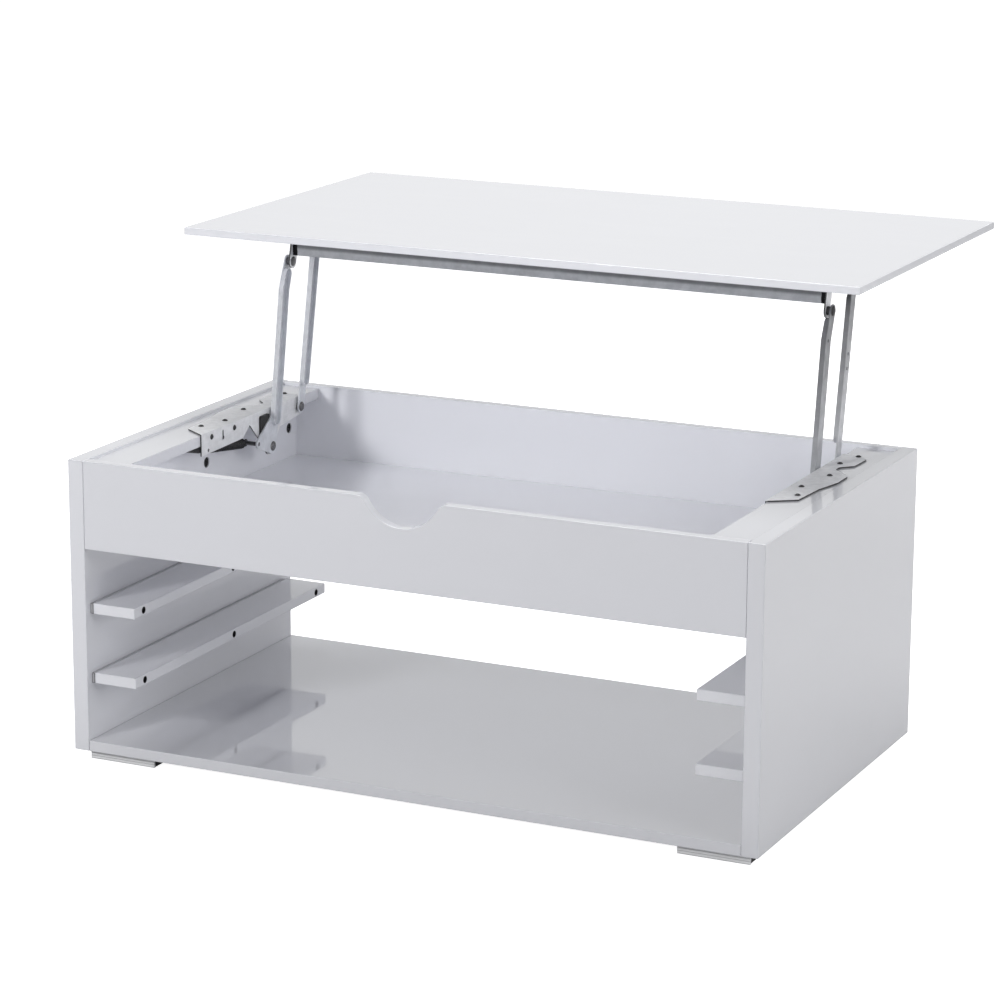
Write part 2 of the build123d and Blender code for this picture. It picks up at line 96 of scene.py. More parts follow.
camera = bpy.data.objects.new("camera", bpy.data.cameras.new("camera"))
camera.data.lens = camera_lens
camera.data.clip_end = 60
camera.matrix_world = Matrix.Translation(camera_place) @ camera_turn(
    camera_azimuth, camera_elevation, camera_roll
)
bpy.context.scene.collection.objects.link(camera)
bpy.context.scene.camera = camera
print("camera at", [round(v, 2) for v in camera.location], "lens", camera_lens)

# %% [markdown]
# ## Floor and light
# The table stands in a white studio. A wide pale floor carries soft shadows, and a sky that is brightest
# at the horizon fills them. Seen straight on, both are the white of lit paper. In a reflection they are
# dimmer, and what lights the table is weaker still. The Light Path node tells the three apart. So the
# boards stay a shade darker than the paper, as they do in a studio. The Standard view keeps white white.


# %% Floor and sky
def feed(tree, value, spot):
    """Joins a node's output to a socket, or sets the socket to a plain value."""
    if isinstance(value, bpy.types.NodeSocket):
        tree.links.new(value, spot)
    else:
        spot.default_value = value


def seen_switch(tree, seen, mirrored, other):
    """A value with three numbers: where the camera sees it, where gloss mirrors it, and where it only
    lights things. Each may be a node's output."""
    path = tree.nodes.new("ShaderNodeLightPath")
    value = other
    for ray, number in (("Is Glossy Ray", mirrored), ("Is Camera Ray", seen)):
        pick = tree.nodes.new("ShaderNodeMix")
        tree.links.new(path.outputs[ray], pick.inputs[0])
        feed(tree, value, pick.inputs[2])
        feed(tree, number, pick.inputs[3])
        value = pick.outputs[0]
    return value


floor_reach = 14.0
floor_seen, floor_mirrored, floor_lighting = 0.94, 0.14, 0.0
corners = np.array([(-1, -1, 0), (1, -1, 0), (1, 1, 0), (-1, 1, 0)]) * floor_reach
floor_mesh = bpy.data.meshes.new("studio_floor")
floor_mesh.from_pydata(corners.tolist(), [], [(0, 1, 2, 3)])
paper = bpy.data.materials.new("studio_paper")
paper.use_nodes = True
paper_shader = paper.node_tree.nodes["Principled BSDF"]
paper_shader.inputs["Base Color"].default_value = (0.66, 0.66, 0.67, 1)
paper_shader.inputs["Roughness"].default_value = 0.9
paper_shader.inputs["Specular IOR Level"].default_value = 0.0
paper_shader.inputs["Emission Color"].default_value = (1, 1, 1, 1)
glow = seen_switch(paper.node_tree, floor_seen, floor_mirrored, floor_lighting)
paper.node_tree.links.new(glow, paper_shader.inputs["Emission Strength"])
floor_mesh.materials.append(paper)
studio_floor = bpy.data.objects.new("studio_floor", floor_mesh)
bpy.context.scene.collection.objects.link(studio_floor)

sky = bpy.data.worlds.new("studio_sky")
sky.use_nodes = True
sky_tree = sky.node_tree
background = sky_tree.nodes["Background"]
background.inputs["Color"].default_value = (0.985, 0.99, 1.0, 1)
upward = sky_tree.nodes.new("ShaderNodeSeparateXYZ")
sky_tree.links.new(sky_tree.nodes.new("ShaderNodeTexCoord").outputs["Generated"], upward.inputs[0])
fade = sky_tree.nodes.new("ShaderNodeMapRange")
sky_tree.links.new(upward.outputs["Z"], fade.inputs["Value"])
sky_horizon, sky_zenith, sky_seen, sky_mirrored = 0.37, 0.08, 1.05, 0.74
fade.inputs["To Min"].default_value, fade.inputs["To Max"].default_value = sky_horizon, sky_zenith
strength = seen_switch(sky_tree, sky_seen, sky_mirrored, fade.outputs[0])
sky_tree.links.new(strength, background.inputs["Strength"])
bpy.context.scene.world = sky
bpy.context.scene.view_settings.view_transform = "Standard"
print("sky:", sky_horizon, "to", sky_zenith)


# %% [markdown]
# ## Softboxes
# Four rectangular lights shape the boards. The smallest is the key. It stands low in front at the left,
# so it reaches under the raised top and into the open bay, and the side's shadow lies as a wedge on the
# rails. A large one fills from the right, one is overhead, and one behind shines through the open bay.
# Large lights give lacquer something broad and soft to reflect, which is what makes it look like lacquer.
# The key and the back light are small, and polished boards would mirror them as hard white patches. So
# those two are hidden from glossy rays: they light the boards but don't show in them.


# %% Softboxes
def softbox(name, place, aim, width, height, power):
    """A rectangular light that faces the point aim."""
    lamp = bpy.data.lights.new(name, "AREA")
    lamp.shape = "RECTANGLE"
    lamp.size, lamp.size_y, lamp.energy = width, height, power
    box = bpy.data.objects.new(name, lamp)
    box.location = place
    box.rotation_euler = (Vector(aim) - Vector(place)).to_track_quat("-Z", "Y").to_euler()
    bpy.context.scene.collection.objects.link(box)
    return box


table_middle = (0, 0, 0.35)
key = softbox("key", (-1.76, -3.81, 1.87), (0, 0, 0.3), 0.7, 0.7, 73)
key.visible_glossy = False
softbox("right_fill", (3.6, -1.2, 1.9), table_middle, 1.8, 1.8, 39)
softbox("overhead", (-0.2, 0.9, 3.4), (0, 0.1, 0.6), 2.4, 2.0, 77)
through_back = softbox("through_back", (1.7, 3.2, 0.55), (-0.4, 0, 0.15), 1.4, 0.7, 30)
through_back.visible_glossy = False

# %% [markdown]
# ## Tools for finishes
# A material here is one Principled shader with noise patterns feeding its colour, roughness and bump.
# These short helpers place nodes and join them, so that each finish below reads as a recipe. Patterns
# that more than one finish needs are node groups: they are built once, and each material places them
# with its own numbers. All of them read Object coordinates, which are metres on the table itself.


# %% Node helpers
def place_node(tree, kind, **values):
    """Adds a node. A keyword names a socket, or is i and the socket's number. Its value is a number, a
    colour or another node's output. After set_, it names a setting of the node."""
    made = tree.nodes.new(kind)
    for key, value in values.items():
        if key.startswith("set_"):
            setattr(made, key[4:], value)
            continue
        numbered = key[0] == "i" and key[1:].isdigit()
        feed(tree, value, made.inputs[int(key[1:]) if numbered else key])
    return made


def maths(tree, operation, *values, clamp=False):
    """A Math node on up to three values, and its output."""
    made = place_node(tree, "ShaderNodeMath", set_operation=operation, set_use_clamp=clamp)
    for spot, value in zip(made.inputs, values):
        feed(tree, value, spot)
    return made.outputs[0]


def ramp(tree, value, low, high, bottom=0.0, top=1.0):
    """Carries value from low..high to bottom..top along a smooth curve."""
    made = place_node(tree, "ShaderNodeMapRange", set_interpolation_type="SMOOTHSTEP", i0=value)
    made.inputs["From Min"].default_value, made.inputs["From Max"].default_value = low, high
    made.inputs["To Min"].default_value, made.inputs["To Max"].default_value = bottom, top
    return made.outputs[0]


def noise(tree, vector, scale, detail=3.0, roughness=0.5):
    """A noise pattern, and its grey output."""
    made = place_node(tree, "ShaderNodeTexNoise", Vector=vector, Scale=scale, Detail=detail)
    made.inputs["Roughness"].default_value = roughness
    return made.outputs["Fac"]


def reshape(tree, vector, **values):
    """A Mapping node that turns or stretches a pattern's coordinates, and its output."""
    return place_node(tree, "ShaderNodeMapping", set_vector_type="POINT", Vector=vector, **values).outputs[0]


def blend_colours(tree, amount, first, second):
    """Mixes two colours by an amount from 0 to 1."""
    made = place_node(tree, "ShaderNodeMix", set_data_type="RGBA")
    feed(tree, amount, made.inputs[0])
    for spot, colour in ((made.inputs[6], first), (made.inputs[7], second)):
        feed(tree, colour if isinstance(colour, bpy.types.NodeSocket) else (*colour, 1), spot)
    return made.outputs[2]


def new_group(name, inputs, outputs):
    """An empty node group with named sockets, given as (name, kind, default)."""
    tree = bpy.data.node_groups.new(name, "ShaderNodeTree")
    for label, kind, default in inputs:
        socket = tree.interface.new_socket(label, in_out="INPUT", socket_type="NodeSocket" + kind)
        if default is not None:
            socket.default_value = default
    for label, kind in outputs:
        tree.interface.new_socket(label, in_out="OUTPUT", socket_type="NodeSocket" + kind)
    return tree, tree.nodes.new("NodeGroupInput").outputs, tree.nodes.new("NodeGroupOutput").inputs


print("helpers ready")

# %% [markdown]
# ## Worn edges
# Lacquer is thinnest on the sharp edges of a board, and hands and cloths polish or dull it there first.
# A board is a box, so a point's distance from each pair of faces is known. On the surface one distance
# is nearly nothing, and near an edge the second smallest is small too. That second distance gives the
# mask. It needs no pointiness and no extra geometry, so it works on any mesh and in every export.

# %% Edge group
edge_tree, edge_in, edge_out = new_group(
    "board_edges",
    [
        ("Vector", "Vector", None),
        ("Centre", "Vector", (0, 0, 0)),
        ("Half size", "Vector", (1, 1, 1)),
        ("Width", "Float", 0.004),
    ],
    [("Edge", "Float")],
)


def vector_maths(tree, operation, *values):
    """A Vector Math node on one or two vectors, and its output."""
    made = place_node(tree, "ShaderNodeVectorMath", set_operation=operation)
    for spot, value in zip(made.inputs, values):
        feed(tree, value, spot)
    return made.outputs[0]


from_centre = vector_maths(edge_tree, "SUBTRACT", edge_in[0], edge_in[1])
depth_in = vector_maths(edge_tree, "SUBTRACT", edge_in[2], vector_maths(edge_tree, "ABSOLUTE", from_centre))
dx, dy, dz = place_node(edge_tree, "ShaderNodeSeparateXYZ", i0=depth_in).outputs
nearer, further = maths(edge_tree, "MINIMUM", dx, dy), maths(edge_tree, "MAXIMUM", dx, dy)
second = maths(edge_tree, "MAXIMUM", nearer, maths(edge_tree, "MINIMUM", further, dz))
closeness = maths(edge_tree, "DIVIDE", second, edge_in[3], clamp=True)
edge_tree.links.new(maths(edge_tree, "SUBTRACT", 1.0, closeness), edge_out[0])
print("group:", edge_tree.name)

# %% [markdown]
# ## The skin of a sprayed surface
# Sprayed lacquer is never a perfect mirror. It has a faint orange peel of a few millimetres, a longer
# swell from the board below it, and wiping leaves patches that are a little duller. The group gives the
# ripple as a height for Bump, and the wiping as a mask that a material turns into roughness.

# %% Sprayed surface group
spray_tree, spray_in, spray_out = new_group(
    "sprayed_surface",
    [("Vector", "Vector", None), ("Peel size", "Float", 260.0), ("Patch size", "Float", 5.0)],
    [("Ripple", "Float"), ("Wiped", "Float"), ("Specks", "Float")],
)
peel = noise(spray_tree, spray_in[0], spray_in[1], 1.5, 0.4)
swell = noise(spray_tree, spray_in[0], 14.0, 1.0, 0.3)
ripple = maths(spray_tree, "MULTIPLY_ADD", swell, 1.5, peel)
wiping = reshape(spray_tree, spray_in[0], Rotation=(0.3, 0.2, 0.6), Scale=(1.0, 3.4, 2.0))
patches = noise(spray_tree, wiping, spray_in[2], 2.0, 0.45)
specks = ramp(spray_tree, noise(spray_tree, spray_in[0], 900.0, 2.0, 0.6), 0.70, 0.78)
spray_tree.links.new(ripple, spray_out[0])
spray_tree.links.new(ramp(spray_tree, patches, 0.35, 0.68), spray_out[1])
spray_tree.links.new(specks, spray_out[2])
print("group:", spray_tree.name)

# %% [markdown]
# ## The skin of rolled steel
# Steel sheet carries long fine lines from the rolls, a mottled zinc coat over them, and small scratches
# where it was handled. The lines are noise that is squeezed across and stretched along one direction.
# The group takes that direction as a scale, so arms and bars can each have lines along their length.

# %% Rolled steel group
steel_tree, steel_in, steel_out = new_group(
    "rolled_steel",
    [("Vector", "Vector", None), ("Turn", "Vector", (0, 0, 0)), ("Mottle size", "Float", 90.0)],
    [("Lines", "Float"), ("Mottle", "Float"), ("Scratches", "Float")],
)
along_roll = reshape(steel_tree, steel_in[0], Rotation=steel_in[1])
stretch = reshape(steel_tree, along_roll, Scale=(40.0, 900.0, 900.0))
lines = noise(steel_tree, stretch, 1.0, 3.0, 0.6)
mottle = noise(steel_tree, steel_in[0], steel_in[2], 4.0, 0.6)
cross_scratch = reshape(steel_tree, along_roll, Rotation=(0.5, 0.3, 0.5), Scale=(30.0, 1500.0, 400.0))
scratches = ramp(steel_tree, noise(steel_tree, cross_scratch, 1.0, 2.0, 0.5), 0.66, 0.74)
steel_tree.links.new(lines, steel_out[0])
steel_tree.links.new(ramp(steel_tree, mottle, 0.3, 0.7), steel_out[1])
steel_tree.links.new(scratches, steel_out[2])
print("group:", steel_tree.name)

# %% [markdown]
# ## Moulded plastic
# The feet, the glide pads and the cam sockets are moulded plastic. The mould's faces were spark eroded,
# so the plastic has a fine even grain, and ridges rub bright. Two sizes of cells make that grain.

# %% Moulded plastic group
mould_tree, mould_in, mould_out = new_group(
    "moulded_grain",
    [("Vector", "Vector", None), ("Grain size", "Float", 1400.0)],
    [("Grain", "Float"), ("Rub", "Float")],
)
cells = place_node(mould_tree, "ShaderNodeTexVoronoi", Vector=mould_in[0], Scale=mould_in[1])
soft_cells = noise(mould_tree, mould_in[0], mould_in[1], 2.0, 0.5)
grain = maths(mould_tree, "MULTIPLY_ADD", cells.outputs["Distance"], 0.6, soft_cells)
mould_tree.links.new(grain, mould_out[0])
mould_tree.links.new(ramp(mould_tree, noise(mould_tree, mould_in[0], 60.0, 4.0, 0.6), 0.4, 0.75), mould_out[1])
print("group:", mould_tree.name)

# %% [markdown]
# ## Starting a material
# Every finish starts alike: an empty material, its Principled shader and the Object coordinates. Values
# that are the same all over a surface are set on the shader's own sockets. Only what changes over the
# surface is joined to it with a link.


# %% Material helpers
def new_finish(name, **sockets):
    """A material with its tree, its shader and its Object coordinates. Keywords set shader sockets."""
    made = bpy.data.materials.new(name)
    made.use_nodes = True
    tree = made.node_tree
    shader = tree.nodes["Principled BSDF"]
    for label, value in sockets.items():
        shader.inputs[label.replace("_", " ")].default_value = value
    spot = place_node(tree, "ShaderNodeTexCoord")
    return made, tree, shader, spot.outputs["Object"]


def use_group(tree, group, **values):
    """Places a node group and sets or joins its sockets. An underscore stands for a space."""
    made = tree.nodes.new("ShaderNodeGroup")
    made.node_tree = group
    for label, value in values.items():
        feed(tree, value, made.inputs[label.replace("_", " ")])
    return made.outputs


def bump(tree, shader, height, strength, distance):
    """Joins a height to the shader's normal through Bump."""
    made = place_node(tree, "ShaderNodeBump", Height=height)
    made.inputs["Strength"].default_value = strength
    made.inputs["Distance"].default_value = distance
    tree.links.new(made.outputs[0], shader.inputs["Normal"])


def paint(finish, *names):
    """Gives each named CAD part one finish."""
    for name in names:
        materials = nodes[name].data.materials
        materials.clear()
        materials.append(finish)


print("material helpers ready")

# %% [markdown]
# ## White lacquer
# The boards are sprayed with a glossy, slightly bluish white. Each board has its own gloss, and its own tint,
# which is painted light and shade: the boards are all one white, and a tint makes a board lighter or darker to
# stand in for the light it gets. Edges are a shade greyer and duller, and a few dust specks sit in the coat.
# The clear top coat is the shader's Coat, with a small roughness of its own, over a base that is not so shiny.
# That gives the sharp highlights and the soft, milky mirror image below them.

# %% Lacquered boards
lacquer_white, edge_shade = np.array((0.858, 0.865, 0.910)), np.array((0.86, 0.86, 0.87))
worn_width = 0.0032


def board_edge(tree, spot, part, width):
    """The mask of a board's edges. The board's own box gives the centre and the half size."""
    low, high = (np.array(v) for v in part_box(part))
    middle, half = tuple((low + high) / 2), tuple((high - low) / 2)
    return use_group(tree, edge_tree, Vector=spot, Centre=middle, Half_size=half, Width=width)["Edge"]


def lacquer(name, part, tint=1.0, gloss=0.0):
    """The lacquer of one board. More gloss makes the mirror image in it sharper and stronger."""
    finish, tree, shader, spot = new_finish(name, Coat_Weight=1.0, Coat_Roughness=0.02, IOR=1.5)
    shader.inputs["Coat IOR"].default_value = 1.6 + 4 * gloss
    edge = board_edge(tree, spot, part, worn_width)
    skin = use_group(tree, spray_tree, Vector=spot)
    broken = maths(tree, "MULTIPLY", edge, ramp(tree, noise(tree, spot, 70.0, 4.0, 0.65), 0.36, 0.62))
    base = tuple(float(v) for v in lacquer_white * tint)
    worn = tuple(float(v) for v in lacquer_white * tint * edge_shade)
    colour = blend_colours(tree, maths(tree, "MULTIPLY", broken, 0.6), base, worn)
    drift = ramp(tree, noise(tree, spot, 1.7, 2.0, 0.5), 0.3, 0.7)
    shade = tuple(v * 0.985 for v in base)
    colour = blend_colours(tree, maths(tree, "MULTIPLY", drift, 0.5), colour, shade)
    speck = maths(tree, "MULTIPLY", skin["Specks"], 0.07)
    colour = blend_colours(tree, speck, colour, (0.35, 0.34, 0.33))
    tree.links.new(colour, shader.inputs["Base Color"])
    dull = maths(tree, "MULTIPLY_ADD", skin["Wiped"], 0.03, 0.14 - gloss)
    tree.links.new(maths(tree, "MULTIPLY_ADD", broken, 0.16, dull), shader.inputs["Roughness"])
    bump(tree, shader, skin["Ripple"], 0.035, 0.0004)
    paint(finish, part)
    return finish


# Painted light and shade: each board's tint makes the one white lighter or darker for the light that board
# gets.
boards = {
    "side_panel_left": 0.92, "side_panel_right": 0.88, "front_apron": 0.89, "back_panel": 1.07,
    "bottom_shelf": 0.88, "well_floor": 1.08, "well_lining_left": 1.06, "well_lining_right": 1.04,
    "ledge_left": 0.88, "ledge_right": 0.86, "upper_rail_left": 0.95, "upper_rail_right": 0.95,
    "lower_rail_left": 0.93, "lower_rail_right": 0.93, "table_top": 1.08,
}  # fmt: skip
glossier = {"bottom_shelf": 0.08, "well_floor": 0.03, "table_top": 0.03, "front_apron": -0.05}
for part, tint in boards.items():
    lacquer("lacquer_" + part, part, tint, glossier.get(part, 0.0))
print("lacquered boards:", len(boards))

# %% [markdown]
# ## Packers and dowels
# The strips behind the rails are raw board with a brushed coat of white, matt and a little rough. Their rims
# are painted dark as shade: the shadow in the gaps round each strip. The beech dowels are hidden in their
# holes. They still get wood: rings that are stretched along the dowel's length, with fine pores on top.

# %% Matt packers and beech dowels
packer_shadow_rim = 0.0014
for part in (f"{level}_rail_packer_{side}" for level in ("upper", "lower") for side in sides):
    packer, tree, shader, spot = new_finish("brushed_" + part, Coat_Weight=0.0)
    strokes = noise(tree, reshape(tree, spot, Scale=(800.0, 30.0, 800.0)), 1.0, 3.0, 0.6)
    # Painted shade: the rims are painted nearly black for the shadow in the gaps round the strip.
    rim = board_edge(tree, spot, part, packer_shadow_rim)
    colour = blend_colours(tree, strokes, (0.72, 0.72, 0.74), (0.80, 0.80, 0.82))
    colour = blend_colours(tree, maths(tree, "MULTIPLY", rim, 0.95), colour, (0.10, 0.10, 0.11))
    tree.links.new(colour, shader.inputs["Base Color"])
    tree.links.new(maths(tree, "MULTIPLY_ADD", strokes, 0.2, 0.5), shader.inputs["Roughness"])
    bump(tree, shader, strokes, 0.3, 0.0004)
    paint(packer, part)

beech, tree, shader, spot = new_finish("beech")
fibres = noise(tree, reshape(tree, spot, Scale=(30.0, 700.0, 700.0)), 1.0, 4.0, 0.6)
tree.links.new(blend_colours(tree, fibres, (0.45, 0.28, 0.14), (0.66, 0.46, 0.27)), shader.inputs["Base Color"])
tree.links.new(maths(tree, "MULTIPLY_ADD", fibres, 0.2, 0.5), shader.inputs["Roughness"])
bump(tree, shader, fibres, 0.4, 0.0005)
paint(beech, "carcass_dowels")
print("packers and dowels painted")

# %% [markdown]
# ## Zinc plated steel
# Arms, brackets and the cross bar are steel sheet with a zinc finish. The arms lean, so the rolling lines are
# turned to run along them. One recipe makes all of them, with its own colour, roughness and turn each time. A
# lower metallic value gives a milkier, more even grey, which suits the left arms and the brackets. Parts of
# each piece are painted darker as shade, nearly black on the brackets and the bar, and a mask made from
# position and from the way a face looks says where. The four arms are alike, but each gets its own tone, set
# piece by piece: that difference is painted light and shade.


# %% Steel finishes
# The colour of painted shade on the steel.
painted_shade_colour = (0.016, 0.016, 0.018)


def steel(name, light, dark, roughness, metal=1.0, turn=(0, 0, 0), grime=0.3, edge_side_shade=0.0, painted_shade_mask=None):
    """Plated sheet. Faces that don't look sideways, such as the sheet's edges and the arms' front lips, are
    painted darker as shade, by the given amount. The optional mask maker takes the tree and the position, and
    the sheet is painted nearly black there as shade."""
    finish, tree, shader, spot = new_finish(name, Metallic=metal)
    skin = use_group(tree, steel_tree, Vector=spot, Turn=turn)
    colour = blend_colours(tree, skin["Mottle"], light, tuple(v * 0.88 for v in light))
    colour = blend_colours(tree, maths(tree, "MULTIPLY", skin["Lines"], 0.3), colour, dark)
    stain = ramp(tree, noise(tree, spot, 34.0, 5.0, 0.65), 0.55, 0.8)
    colour = blend_colours(tree, maths(tree, "MULTIPLY", stain, grime), colour, dark)
    # Painted shade on faces that don't look sideways.
    if edge_side_shade:
        facing = tree.nodes["Texture Coordinate"].outputs["Normal"]
        sideways = maths(tree, "ABSOLUTE", place_node(tree, "ShaderNodeSeparateXYZ", i0=facing).outputs[0])
        edge = maths(tree, "MULTIPLY", ramp(tree, sideways, 0.72, 0.96, 1.0, 0.0), edge_side_shade)
        colour = blend_colours(tree, edge, colour, tuple(v * 0.55 for v in dark))
    # Painted shade: the sheet is painted nearly black where the mask says.
    if painted_shade_mask:
        colour = blend_colours(tree, painted_shade_mask(tree, spot), colour, painted_shade_colour)
    tree.links.new(colour, shader.inputs["Base Color"])
    rough = maths(tree, "MULTIPLY_ADD", skin["Mottle"], 0.12, roughness)
    tree.links.new(maths(tree, "MULTIPLY_ADD", skin["Scratches"], 0.15, rough), shader.inputs["Roughness"])
    height = maths(tree, "MULTIPLY_ADD", skin["Scratches"], -0.5, skin["Lines"])
    bump(tree, shader, height, 0.12, 0.0003)
    return finish


def bracket_painted_shade(tree, spot):
    """Painted shade on a bracket: the mask is high on faces that look along the table's depth, on the web's
    sloping top and on the outer edge of the flange, where the sheet's edges stand in shadow."""
    facing = tree.nodes["Texture Coordinate"].outputs["Normal"]
    normal = [maths(tree, "ABSOLUTE", n) for n in place_node(tree, "ShaderNodeSeparateXYZ", i0=facing).outputs]
    x, y, z = place_node(tree, "ShaderNodeSeparateXYZ", i0=spot).outputs
    endways = ramp(tree, normal[1], 0.3, 0.6)
    on_web = ramp(tree, z, flange_height + 0.0004, flange_height + 0.0008)
    topmost = maths(tree, "MULTIPLY", on_web, ramp(tree, normal[0], 0.4, 0.7, 1.0, 0.0))
    outer = ramp(tree, maths(tree, "ABSOLUTE", x), 0.004 - plate_face, 0.005 - plate_face)
    outer = maths(tree, "MULTIPLY", outer, ramp(tree, normal[0], 0.4, 0.7))
    darkest = maths(tree, "MAXIMUM", maths(tree, "MAXIMUM", endways, topmost), outer)
    return maths(tree, "MULTIPLY", darkest, 0.95)


def arm_painted_reflection(tree, spot):
    """Painted reflection on the right arms: their colour darkens towards their upper ends. The mask rises with
    height, and noise of a few centimetres keeps its border from being straight."""
    height = place_node(tree, "ShaderNodeSeparateXYZ", i0=spot).outputs[2]
    patchy = maths(tree, "MULTIPLY", noise(tree, spot, 55.0, 3.0, 0.6), 0.06)
    level = maths(tree, "ADD", height, patchy)
    return ramp(tree, level, front_low[1] + 0.06, front_high[1] + 0.03, 0.0, 0.60)


def bar_painted_shade(tree, spot):
    """Painted shade on the bar: nearly black at its two ends beside the ears, and darker over its upper part,
    under the lid.
    """
    x, y, z = place_node(tree, "ShaderNodeSeparateXYZ", i0=spot).outputs
    wobble = maths(tree, "MULTIPLY", noise(tree, spot, 180.0, 3.0, 0.6), 0.0016)
    reach = maths(tree, "ADD", maths(tree, "ABSOLUTE", x), wobble)
    ends = ramp(tree, reach, bar_half - 0.0072, bar_half - 0.0060)
    upper = maths(tree, "MULTIPLY", ramp(tree, z, bar_top - 0.032, bar_top - 0.027), 0.6)
    return maths(tree, "MAXIMUM", ends, upper)


lean = math.atan2(*(front_high - front_low)[::-1])
across, up_arm = (0, 0, math.pi / 2), (-lean, 0, math.pi / 2)
flange_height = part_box("ledge_left")[1].z + sheet
bar_half, bar_top = -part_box("cross_bar")[0].x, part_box("cross_bar")[1].z
# Painted light and shade: the arms are alike, and each gets its own tones and metal value so that it looks as
# lit as it should. The right front arm is painted darker.
arms = {
    "front_arm_left": ((0.86, 0.88, 0.92), (0.39, 0.40, 0.43), 0.34, 0.3, up_arm, 0.25),
    "rear_arm_left": ((0.86, 0.88, 0.92), (0.40, 0.41, 0.44), 0.34, 0.25, up_arm, 0.25),
    "front_arm_right": ((0.64, 0.65, 0.68), (0.26, 0.265, 0.28), 0.30, 0.6, up_arm, 0.3, 0.25, arm_painted_reflection),
    "rear_arm_right": ((0.84, 0.85, 0.88), (0.30, 0.305, 0.32), 0.30, 0.7, up_arm, 0.3, 0.25, arm_painted_reflection),
}
bracket_zinc = steel(
    "bracket_zinc", (0.97, 0.975, 0.99), (0.50, 0.505, 0.52), 0.38, 0.12, across, 0.16, painted_shade_mask=bracket_painted_shade
)
bar_zinc = steel("bar_zinc", (0.55, 0.565, 0.60), (0.24, 0.245, 0.26), 0.32, painted_shade_mask=bar_painted_shade)
for part, look in arms.items():
    paint(steel("zinc_" + part, *look), part)
paint(bracket_zinc, *(f"{place}_bracket_{side}" for place in ("base", "top") for side in sides))
paint(bar_zinc, "cross_bar")
print("arms lean", round(math.degrees(lean), 1), "degrees from level")

# %% [markdown]
# ## Feet and pads
# Each foot is a moulded block with a thin strip of brushed aluminium let into its outward face. The block is
# painted black as shade: its sides stand in deep shadow under the shelf. Three grooves run along the strip: a
# sine of the height gives them, and their darker colour is painted shade in the grooves. The pads in the
# brackets' windows are black plastic, with the same finish as the feet.

# %% Black plastic and aluminium strips
black_mould, tree, shader, spot = new_finish("black_mould", IOR=1.48)
moulded = use_group(tree, mould_tree, Vector=spot)
colour = blend_colours(tree, moulded["Rub"], (0.012, 0.012, 0.013), (0.032, 0.032, 0.034))
tree.links.new(colour, shader.inputs["Base Color"])
tree.links.new(maths(tree, "MULTIPLY_ADD", moulded["Rub"], -0.12, 0.55), shader.inputs["Roughness"])
bump(tree, shader, moulded["Grain"], 0.25, 0.0002)
# Painted shade: the feet's blocks are black so that their sides look as dark as the deep shadow under the
# shelf.
paint(black_mould, *(f"{end}_foot_{side}" for end in ("front", "back") for side in sides))
paint(black_mould, *(f"glide_pad_{side}" for side in sides))

strip_low, strip_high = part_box("front_foot_strip_left")
aluminium, tree, shader, spot = new_finish("brushed_aluminium", Metallic=0.05)
level = place_node(tree, "ShaderNodeSeparateXYZ", i0=spot).outputs[2]
groove_count = 3
waves = 2 * math.pi * groove_count / (strip_high.z - strip_low.z)
grooves = maths(tree, "SINE", maths(tree, "MULTIPLY", level, waves))
groove_and_shade = ramp(tree, grooves, 0.1, 0.9)
skin = use_group(tree, steel_tree, Vector=spot, Turn=(0, 0, math.pi / 2))
# Painted shade: the grooves are coloured darker, as the shade in them. The same mask gives their bump.
colour = blend_colours(tree, groove_and_shade, (0.95, 0.955, 0.965), (0.62, 0.62, 0.63))
colour = blend_colours(tree, maths(tree, "MULTIPLY", skin["Lines"], 0.3), colour, (0.5, 0.5, 0.51))
tree.links.new(colour, shader.inputs["Base Color"])
tree.links.new(maths(tree, "MULTIPLY_ADD", skin["Mottle"], 0.12, 0.34), shader.inputs["Roughness"])
bump(tree, shader, maths(tree, "SUBTRACT", skin["Lines"], groove_and_shade), 0.4, 0.0004)
paint(aluminium, *(f"{end}_foot_strip_{side}" for end in ("front", "back") for side in sides))
print("feet painted")

# %% [markdown]
# ## Tools for turned and bent parts
# Screws, pins and cam sockets are turned shapes: a profile of radii and heights goes round an axis. A
# spring is bent wire: a circle goes along a path. Both are grids of points, worked out as whole numpy
# arrays. Many copies are one array too, because a copy only adds its place. Points that fall together
# on the axis are merged afterwards, which closes the ends and turns all faces outwards.


# %% Surface helpers
def quads(rows, columns, copies, closed=True):
    """Corner numbers of the faces of equal grids: row r and column c go with their next neighbours."""
    r, c = np.arange(rows - 1)[:, None], np.arange(columns if closed else columns - 1)[None, :]
    after = (c + 1) % columns
    one = np.stack(
        np.broadcast_arrays(
            r * columns + c, r * columns + after, (r + 1) * columns + after, (r + 1) * columns + c
        ),
        axis=-1,
    ).reshape(-1, 4)
    return (one[None] + np.arange(copies)[:, None, None] * rows * columns).reshape(-1, 4)


